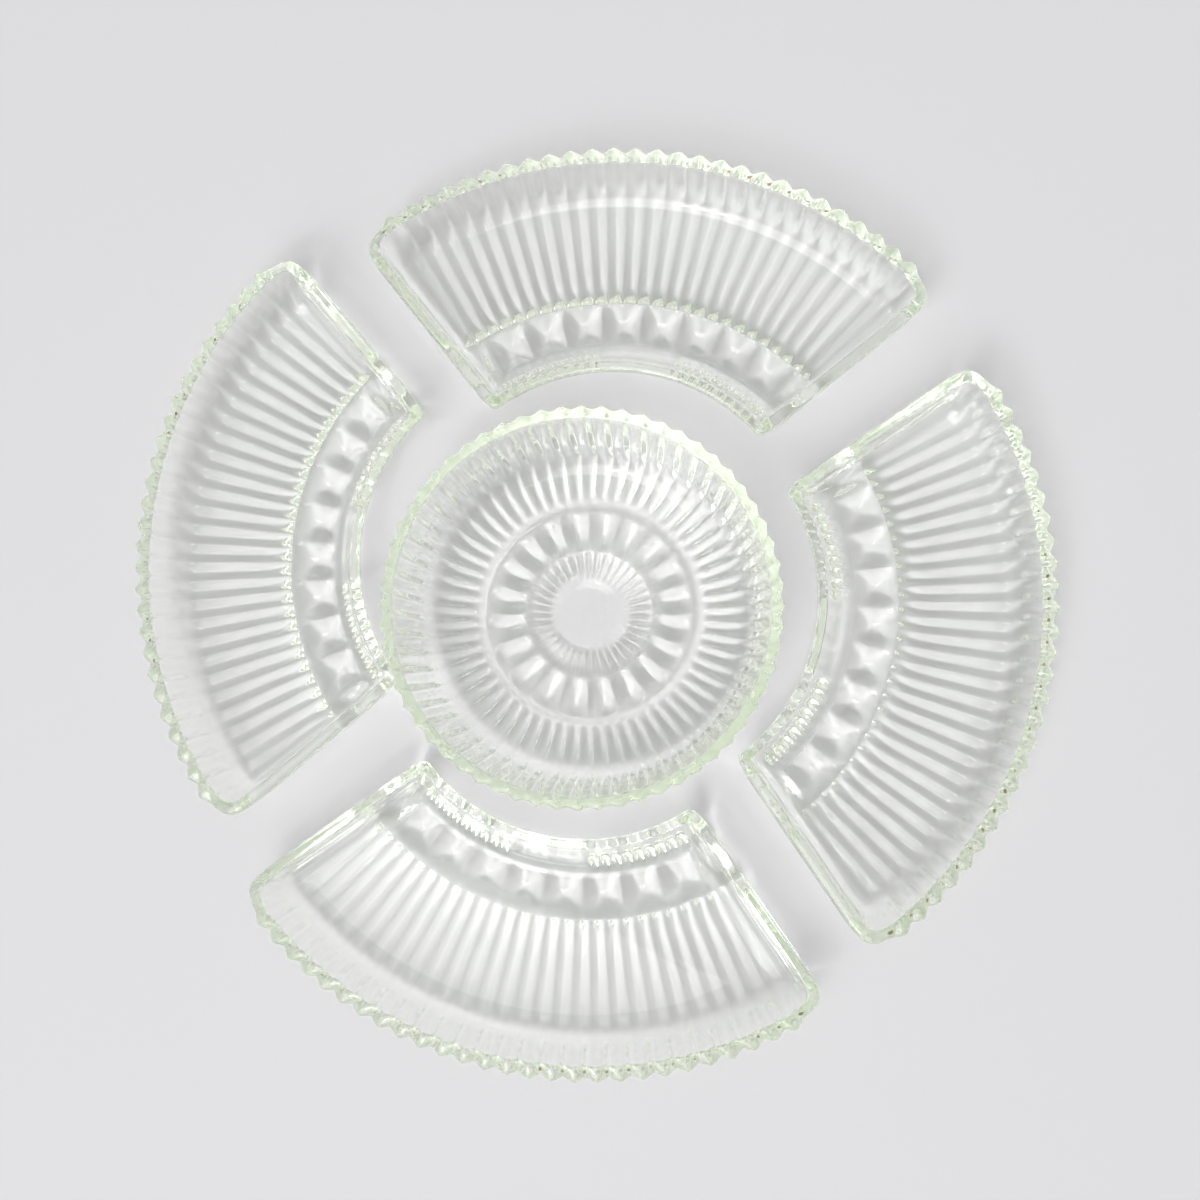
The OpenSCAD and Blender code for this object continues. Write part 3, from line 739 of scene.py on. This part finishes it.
class BowlForm:
    """The round bowl, extruded ring by ring from the disc in the middle of its underside."""

    columns_per_petal = 12
    foot_bevel = 4 * MM
    petal_fall = 0.9 * MM
    lip_drop = 1.1 * MM
    tooth_sink = 0.5 * MM
    petal_crease = 0.45
    fine_crease = 0.35
    rib_crease = 0.40
    flute_crease = 0.36
    edge_crease = 0.32

    def __init__(self, size):
        self.size = size
        self.columns = size.petal_count * self.columns_per_petal

    def wall_r(self, z, depth):
        rim_z = self.size.height - self.size.rim_drop
        return self.size.rim_r - self.size.lean * (1 - min(z, rim_z) / rim_z) - depth

    def levels(self):
        """Rings after the disc: label, radius and height."""
        size = self.size
        top = size.height
        rim_z = top - size.rim_drop
        groove_z = size.rib_lift + size.relief_d
        step = size.foot_step
        foot_in = size.foot_r - size.foot_w
        petal_out = foot_in - step
        wall_z = groove_z + self.foot_bevel
        inside, lip_z = size.rim_w, top - self.lip_drop
        fillet_z = size.floor_h + size.fillet
        fillet_mid = size.floor_h + 0.30 * size.fillet
        return (
            ("disc edge", size.disc_r - 1.5 * step, 0.25 * size.disc_z),
            ("disc step", size.disc_r, size.disc_z),
            ("fine in", size.disc_r + 0.5 * step, size.disc_z),
            ("fine out", size.petal_in_r - step, 1.4 * size.disc_z),
            ("petal in", size.petal_in_r, size.petal_z),
            ("ridge in", size.petal_in_r + size.petal_hip, size.petal_z),
            ("ridge out", petal_out - size.petal_hip, size.petal_z),
            ("petal out", petal_out, size.petal_z - self.petal_fall),
            ("foot in", foot_in, size.foot_lift),
            ("foot out", size.foot_r, size.foot_lift),
            ("rib in", size.foot_r + step, groove_z),
            ("rib out", self.wall_r(groove_z, self.foot_bevel), groove_z),
            ("wall foot", self.wall_r(wall_z, 0), wall_z),
            ("flute top", self.wall_r(0.76 * rim_z, 0), 0.76 * rim_z),
            ("tooth foot", self.wall_r(0.93 * rim_z, 0), 0.93 * rim_z),
            ("tooth", self.wall_r(rim_z, 0), rim_z),
            ("edge", self.wall_r(top, 0.25 * inside), top),
            ("crown", self.wall_r(top, 0.62 * inside), top),
            ("inner edge", self.wall_r(top, 0.97 * inside), top),
            ("inner lip", self.wall_r(lip_z, 1.04 * inside), lip_z),
            ("fillet top", self.wall_r(fillet_z, inside), fillet_z),
            ("fillet", self.wall_r(fillet_mid, inside + 0.30 * size.fillet), fillet_mid),
            ("fillet end", self.wall_r(size.floor_h, inside + size.fillet), size.floor_h),
            ("floor", self.wall_r(size.floor_h, inside + 1.4 * size.fillet), size.floor_h),
            ("floor middle", self.wall_r(size.floor_h, inside + 1.8 * size.fillet), size.floor_h),
        )

    def build(self, name):
        size = self.size
        first_r = size.disc_r - 3 * size.foot_step
        bpy.ops.mesh.primitive_circle_add(
            vertices=self.columns, radius=first_r, fill_type="NGON", location=(0, 0, 0))
        piece = open_cage(name)
        bpy.ops.mesh.select_all(action="SELECT")
        set_marks(piece, "column", lambda place: round(
            math.atan2(place.y, place.x) / math.tau * self.columns) % self.columns)
        self.ring_of = {}
        self.r_of = {}
        ring, r_now, z_now = 0, first_r, 0.0
        for label, r, z in self.levels():
            ring = raise_cap(piece, ring, z - z_now)
            self.ring_of[label] = ring
            self.r_of[label] = r
            swell(piece, lambda n, j, c: n == ring, r / r_now)
            r_now, z_now = r, z
        self.press_flower(piece)
        self.press_ribs(piece)
        self.press_wall(piece)
        self.sharpen(piece)
        self.mark_age(piece)
        self.open_floors(piece)
        close_cage(piece)
        self.close_floors()
        return piece

    def open_floors(self, piece):
        """Takes out the two flat round floors, which are too wide to be softened."""
        bpy.ops.mesh.select_mode(type="FACE")
        form = bmesh.from_edit_mesh(piece.data)
        for face in form.faces:
            face.select_set(len(face.verts) == self.columns)
        bmesh.update_edit_mesh(piece.data, loop_triangles=False, destructive=False)
        bpy.ops.mesh.delete(type="ONLY_FACE")
        bpy.ops.mesh.select_mode(type="VERT")

    def close_floors(self):
        """Fills the two flat round floors again."""
        bpy.ops.object.mode_set(mode="EDIT")
        bpy.ops.mesh.select_all(action="SELECT")
        bpy.ops.mesh.fill_holes(sides=0)
        bpy.ops.mesh.select_all(action="SELECT")
        bpy.ops.mesh.normals_make_consistent(inside=False)
        bpy.ops.object.mode_set(mode="OBJECT")
        bpy.ops.object.shade_smooth_by_angle(angle=CRISP_ANGLE)

    def lower(self, piece, labels, phases, period, step):
        """Moves the columns of some phases up or down on the named rings."""
        rings = [self.ring_of[label] for label in labels]
        push(piece, lambda n, j, c: n in rings and c % period in phases, z=step)

    def press_flower(self, piece):
        """Presses the petals and the fine ribs round the disc."""
        size = self.size
        period = self.columns_per_petal
        half = period // 2
        for step in range(1, half + 1):
            self.lower(piece, ("ridge in", "ridge out"), (step, period - step), period,
                       -size.petal_d * step / half)
        period = self.columns // size.fine_rib_count
        half = period // 2
        for step in range(1, half + 1):
            self.lower(piece, ("fine in", "fine out"), (step, period - step), period,
                       size.fine_rib_d * step / half)

    def press_ribs(self, piece):
        """Presses the ribs between the foot ring and the wall."""
        depth = self.size.relief_d
        self.lower(piece, ("rib in", "rib out"), (0,), RIB_COLUMNS, -depth)
        self.lower(piece, ("rib in", "rib out"), (1, 3), RIB_COLUMNS, -0.55 * depth)

    def press_wall(self, piece):
        """Presses the flutes and the teeth."""
        size = self.size
        flute, tooth = size.flute_d, size.tooth_d
        reach = {
            "wall foot": (flute, 0.6 * flute),
            "flute top": (0.7 * flute, 0.4 * flute),
            "tooth foot": (0.5 * tooth, 0.2 * tooth),
            "tooth": (1.1 * tooth, 0.40 * tooth),
            "edge": (0.8 * tooth, 0.30 * tooth),
        }
        for label, (crest, flank) in reach.items():
            ring, r = self.ring_of[label], self.r_of[label]
            swell(piece, lambda n, j, c: n == ring and c % RIB_COLUMNS == 0, 1 + crest / r)
            swell(piece, lambda n, j, c: n == ring and c % 2 == 1, 1 + flank / r)
        self.lower(piece, ("edge",), (2,), RIB_COLUMNS, -self.tooth_sink)

    def sharpen(self, piece):
        """Keeps ridges, valleys and crests crisp."""
        rings = self.ring_of

        def upright(a, b, first, last, phases, period):
            return (a[2] == b[2] and a[2] % period in phases
                    and all(rings[first] <= mark[0] <= rings[last] for mark in (a, b)))

        half = self.columns_per_petal // 2
        crease(piece, lambda a, b: upright(a, b, "ridge in", "ridge out", (half,), 2 * half)
               or upright(a, b, "petal in", "petal out", (0,), 2 * half), self.petal_crease)
        period = self.columns // self.size.fine_rib_count
        crease(piece, lambda a, b: upright(
            a, b, "fine in", "fine out", (0, period // 2), period), self.fine_crease)
        crease(piece, lambda a, b: upright(
            a, b, "rib in", "rib out", (0, 2), RIB_COLUMNS), self.rib_crease)
        crease(piece, lambda a, b: upright(
            a, b, "rib out", "edge", (0, 2), RIB_COLUMNS), self.flute_crease)
        for label in ("petal in", "petal out", "inner edge"):
            crease(piece, lambda a, b: a[0] == b[0] == rings[label], self.edge_crease)

    def mark_age(self, piece):
        """Marks the rubbed teeth. The bowl is clean."""
        form = bmesh.from_edit_mesh(piece.data)
        ring = form.verts.layers.int["ring"]
        wear = form.verts.layers.float[WEAR_MARK]
        teeth = range(self.ring_of["tooth foot"], self.ring_of["crown"] + 1)
        for vertex in form.verts:
            vertex[wear] = float(vertex[ring] in teeth)
        bmesh.update_edit_mesh(piece.data)


def surface_group():
    """Node group of the glass surface: soft waves from pressing, fine wear and specks of dirt."""
    name = "Pressed surface"
    if name in bpy.data.node_groups:
        return bpy.data.node_groups[name]
    group = bpy.data.node_groups.new(name, "ShaderNodeTree")
    face = group.interface
    for label, kind, default in (
            ("Clean Color", "NodeSocketColor", (1, 1, 1, 1)),
            ("Grime Color", "NodeSocketColor", (0.2, 0.1, 0.05, 1)),
            ("Grime", "NodeSocketFloat", 0.0),
            ("Wear", "NodeSocketFloat", 0.0),
            ("Roughness", "NodeSocketFloat", 0.02),
            ("Ripple", "NodeSocketFloat", 0.1)):
        face.new_socket(name=label, in_out="INPUT", socket_type=kind).default_value = default
    for label, kind in (("Color", "NodeSocketColor"), ("Roughness", "NodeSocketFloat"),
                        ("Normal", "NodeSocketVector")):
        face.new_socket(name=label, in_out="OUTPUT", socket_type=kind)
    nodes, links = group.nodes, group.links
    entry, leave = nodes.new("NodeGroupInput"), nodes.new("NodeGroupOutput")
    place = nodes.new("ShaderNodeTexCoord")

    def noise(scale, detail):
        node = nodes.new("ShaderNodeTexNoise")
        node.inputs["Scale"].default_value = scale
        node.inputs["Detail"].default_value = detail
        links.new(place.outputs["Object"], node.inputs["Vector"])
        return node.outputs["Fac"]

    def times(first, second):
        node = nodes.new("ShaderNodeMath")
        node.operation = "MULTIPLY"
        links.new(first, node.inputs[0])
        links.new(second, node.inputs[1])
        return node.outputs[0]

    def add_share(amount, share, base):
        node = nodes.new("ShaderNodeMath")
        node.operation = "MULTIPLY_ADD"
        links.new(amount, node.inputs[0])
        node.inputs[1].default_value = share
        links.new(base, node.inputs[2])
        return node.outputs[0]

    amount = times(noise(SPECK_SCALE, 3), noise(PATCH_SCALE, 2))
    dirt = nodes.new("ShaderNodeMapRange")
    dirt.interpolation_type = "SMOOTHSTEP"
    dirt.inputs["From Min"].default_value, dirt.inputs["From Max"].default_value = DIRT_RANGE
    links.new(times(amount, entry.outputs["Grime"]), dirt.inputs["Value"])
    color = nodes.new("ShaderNodeMix")
    color.data_type = "RGBA"
    links.new(dirt.outputs["Result"], color.inputs["Factor"])
    links.new(entry.outputs["Clean Color"], color.inputs[6])
    links.new(entry.outputs["Grime Color"], color.inputs[7])
    links.new(color.outputs[2], leave.inputs["Color"])

    rub = nodes.new("ShaderNodeMapRange")
    rub.inputs["From Min"].default_value, rub.inputs["From Max"].default_value = RUB_RANGE
    rub.inputs["To Max"].default_value = RUB_ROUGHNESS
    links.new(noise(RUB_SCALE, 4), rub.inputs["Value"])
    rough = add_share(rub.outputs["Result"], 1, entry.outputs["Roughness"])
    rough = add_share(dirt.outputs["Result"], DIRT_ROUGHNESS, rough)
    rough = add_share(entry.outputs["Wear"], WEAR_ROUGHNESS, rough)
    links.new(rough, leave.inputs["Roughness"])

    ripple = nodes.new("ShaderNodeBump")
    ripple.inputs["Distance"].default_value = WAVE_HEIGHT
    links.new(entry.outputs["Ripple"], ripple.inputs["Strength"])
    links.new(noise(WAVE_SCALE, 1), ripple.inputs["Height"])
    links.new(ripple.outputs["Normal"], leave.inputs["Normal"])
    return group


def glass_material(name, look, density):
    """Clear pressed glass whose thick parts turn pale green."""
    material = bpy.data.materials.new(name)
    material.use_nodes = True
    nodes, links = material.node_tree.nodes, material.node_tree.links
    glass = nodes["Principled BSDF"]
    glass.inputs["Metallic"].default_value = 0.0
    glass.inputs["IOR"].default_value = 1.5
    glass.inputs["Transmission Weight"].default_value = 1.0
    surface = nodes.new("ShaderNodeGroup")
    surface.node_tree = surface_group()
    surface.inputs["Grime Color"].default_value = (*look.grime, 1)
    surface.inputs["Roughness"].default_value = look.roughness
    surface.inputs["Ripple"].default_value = look.ripple
    for mark, entry in ((GRIME_MARK, "Grime"), (WEAR_MARK, "Wear")):
        painted = nodes.new("ShaderNodeAttribute")
        painted.attribute_name = mark
        links.new(painted.outputs["Fac"], surface.inputs[entry])
    links.new(surface.outputs["Color"], glass.inputs["Base Color"])
    links.new(surface.outputs["Roughness"], glass.inputs["Roughness"])
    links.new(surface.outputs["Normal"], glass.inputs["Normal"])
    depth = nodes.new("ShaderNodeVolumeAbsorption")
    depth.inputs["Color"].default_value = (*look.tint, 1)
    depth.inputs["Density"].default_value = density
    links.new(depth.outputs["Volume"], nodes["Material Output"].inputs["Volume"])
    return material


def finish_piece(piece, material, node, body):
    """Gives a glass piece its finish and lets it stand for its CAD node."""
    piece.data.materials.clear()
    piece.data.materials.append(material)
    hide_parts(node)
    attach(piece, body)


class RELISH_OT_centre_bowl(bpy.types.Operator):
    """Build the round bowl in the middle of the set"""

    bl_idname = "relish.centre_bowl"
    bl_label = "Centre Bowl"

    def execute(self, context):
        start_clean()
        look = context.scene.relish_glass
        piece = BowlForm(context.scene.relish_bowl).build("bowl_glass")
        finish_piece(piece, glass_material("Bowl glass", look, look.bowl_density),
                     "centre_bowl", "bowl")
        return {"FINISHED"}


class RELISH_OT_fan_dishes(bpy.types.Operator):
    """Build one fan dish and stand four copies of it round the bowl"""

    bl_idname = "relish.fan_dishes"
    bl_label = "Fan Dishes"

    def execute(self, context):
        start_clean()
        size, bowl = context.scene.relish_dish, context.scene.relish_bowl
        look, places = context.scene.relish_glass, context.scene.relish_places
        material = glass_material("Dish glass", look, look.dish_density)
        pattern = FanDishForm(size).build("right_dish_glass")
        bowl_edge = bowl.rim_r + bowl.tooth_d
        names = ("right", "front", "left", "back")
        pieces = [pattern]
        for name in names[1:]:
            start_clean()
            pattern.select_set(True)
            context.view_layer.objects.active = pattern
            bpy.ops.object.duplicate(linked=False)
            piece = context.object
            piece.name = f"{name}_dish_glass"
            piece.data.name = piece.name
            pieces.append(piece)
        for name, piece in zip(names, pieces):
            turn, gap, shift = getattr(places, name)
            start_clean()
            piece.select_set(True)
            context.view_layer.objects.active = piece
            piece.location = (bowl_edge + gap * MM - size.inner_r, shift * MM, 0)
            bpy.ops.object.transform_apply(location=True, rotation=False, scale=False)
            piece.rotation_euler.z = math.radians(turn)
            bpy.ops.object.transform_apply(location=False, rotation=True, scale=False)
            finish_piece(piece, material, f"{name}_dish", f"dish_{name}")
        return {"FINISHED"}


class RELISH_OT_stage(bpy.types.Operator):
    """Lay the floor, set the light and place the camera"""

    bl_idname = "relish.stage"
    bl_label = "Stage"

    # Cosine of the angle from the bright side where the room turns dim.
    bright_edge = 0.88
    # Places and sizes of the two softboxes, in metres. Both face the middle of the set.
    window_place = (-0.30, -0.68, 0.94)
    window_size = (0.16, 0.16)
    ceiling_place = (-0.13, -0.33, 1.10)
    ceiling_size = (0.60, 0.22)
    floor_size = 6
    floor_gap = 0.1 * MM

    def execute(self, context):
        start_clean()
        look = context.scene.relish_stage
        self.lay_floor(look)
        self.light(context, look)
        self.place_camera(context, look)
        context.scene.view_settings.view_transform = "Standard"
        self.let_light_through(context.scene.cycles)
        return {"FINISHED"}

    def let_light_through(self, cycles):
        """Keeps light that has crossed the glass many times, and keeps it sharp."""
        cycles.blur_glossy = 0
        cycles.max_bounces = 48
        cycles.glossy_bounces = 40
        cycles.transmission_bounces = 32

    def lay_floor(self, look):
        bpy.ops.mesh.primitive_plane_add(size=self.floor_size, location=(0, 0, -self.floor_gap))
        floor = bpy.context.object
        floor.name = "floor"
        material = bpy.data.materials.new("Floor paper")
        material.use_nodes = True
        paper = material.node_tree.nodes["Principled BSDF"]
        paper.inputs["Base Color"].default_value = (*look.floor, 1)
        paper.inputs["Roughness"].default_value = 0.9
        paper.inputs["Specular IOR Level"].default_value = 0.1
        floor.data.materials.append(material)

    def light(self, context, look):
        """Lights the room from one side, and keeps it pale for rays that haven't met the floor."""
        world = bpy.data.worlds.new("Soft room")
        context.scene.world = world
        world.use_nodes = True
        nodes, links = world.node_tree.nodes, world.node_tree.links
        sky = nodes["Background"]
        sky.inputs["Color"].default_value = (*look.sky, 1)
        place = nodes.new("ShaderNodeTexCoord")
        facing = nodes.new("ShaderNodeVectorMath")
        facing.operation = "DOT_PRODUCT"
        facing.inputs[1].default_value = Vector(look.bright_side).normalized()
        links.new(place.outputs["Generated"], facing.inputs[0])
        shade = nodes.new("ShaderNodeMapRange")
        shade.interpolation_type = "SMOOTHSTEP"
        shade.inputs["From Min"].default_value = self.bright_edge
        shade.inputs["From Max"].default_value = 1.0
        shade.inputs["To Min"].default_value = look.dim_strength
        shade.inputs["To Max"].default_value = look.sky_strength
        links.new(facing.outputs["Value"], shade.inputs["Value"])
        path = nodes.new("ShaderNodeLightPath")

        def combine(operation, first, second=None, value=0.0):
            node = nodes.new("ShaderNodeMath")
            node.operation = operation
            node.inputs[1].default_value = value
            links.new(first, node.inputs[0])
            if second:
                links.new(second, node.inputs[1])
            return node.outputs[0]

        seen = combine("MAXIMUM", path.outputs["Is Camera Ray"], path.outputs["Is Glossy Ray"])
        seen = combine("MAXIMUM", seen, path.outputs["Is Transmission Ray"])
        direct = combine("LESS_THAN", path.outputs["Diffuse Depth"], value=0.5)
        before_floor = combine("MULTIPLY", seen, direct)
        pale = combine("MAXIMUM", shade.outputs["Result"], value=look.backdrop_strength)
        backdrop = nodes.new("ShaderNodeMix")
        links.new(before_floor, backdrop.inputs["Factor"])
        links.new(shade.outputs["Result"], backdrop.inputs["A"])
        links.new(pale, backdrop.inputs["B"])
        links.new(backdrop.outputs["Result"], sky.inputs["Strength"])
        self.hang_softbox("window", self.window_place, self.window_size, look.softbox_power)
        self.hang_softbox("ceiling", self.ceiling_place, self.ceiling_size, look.ceiling_power)

    def hang_softbox(self, name, place, size, power):
        bpy.ops.object.light_add(type="AREA", location=place)
        lamp = bpy.context.object
        lamp.name = name
        lamp.data.shape = "RECTANGLE"
        lamp.data.size, lamp.data.size_y = size
        lamp.data.energy = power
        lamp.rotation_euler = (-lamp.location).to_track_quat("-Z", "Y").to_euler()

    def place_camera(self, context, look):
        eye, target = Vector(look.eye), Vector(look.target)
        ahead = (target - eye).normalized()
        right = Vector((1, 0, 0))
        right = (right - ahead * right.dot(ahead)).normalized()
        up = right.cross(ahead)
        bpy.ops.object.camera_add()
        camera = bpy.context.object
        camera.name = "camera"
        turn = Matrix((right, up, -ahead)).transposed()
        camera.matrix_world = Matrix.Translation(eye) @ turn.to_4x4()
        camera.data.sensor_width = 36
        camera.data.lens = look.lens
        camera.data.clip_start = 0.01
        camera.data.clip_end = 50
        context.scene.camera = camera


class RELISH_PT_panel(bpy.types.Panel):
    """Lists the steps that build the set"""

    bl_idname = "RELISH_PT_panel"
    bl_label = "Relish Set"
    bl_space_type = "VIEW_3D"
    bl_region_type = "UI"
    bl_category = "Relish Set"

    def draw(self, context):
        for operator in OPERATORS:
            self.layout.operator(operator.bl_idname)


OPERATORS = (RELISH_OT_centre_bowl, RELISH_OT_fan_dishes, RELISH_OT_stage)
GROUPS = {
    "relish_bowl": BowlSizes,
    "relish_dish": FanDishSizes,
    "relish_places": SetPlaces,
    "relish_glass": GlassLook,
    "relish_stage": StageLook,
}


def register():
    for group in GROUPS.values():
        bpy.utils.register_class(group)
    for name, group in GROUPS.items():
        setattr(bpy.types.Scene, name, bpy.props.PointerProperty(type=group))
    for operator in OPERATORS:
        bpy.utils.register_class(operator)
    bpy.utils.register_class(RELISH_PT_panel)


def unregister():
    bpy.utils.unregister_class(RELISH_PT_panel)
    for operator in reversed(OPERATORS):
        bpy.utils.unregister_class(operator)
    for name, group in reversed(GROUPS.items()):
        delattr(bpy.types.Scene, name)
        bpy.utils.unregister_class(group)


def main():
    register()
    bpy.ops.relish.centre_bowl()
    bpy.ops.relish.fan_dishes()
    bpy.ops.relish.stage()
    start_clean()


if __name__ == "__main__":
    main()
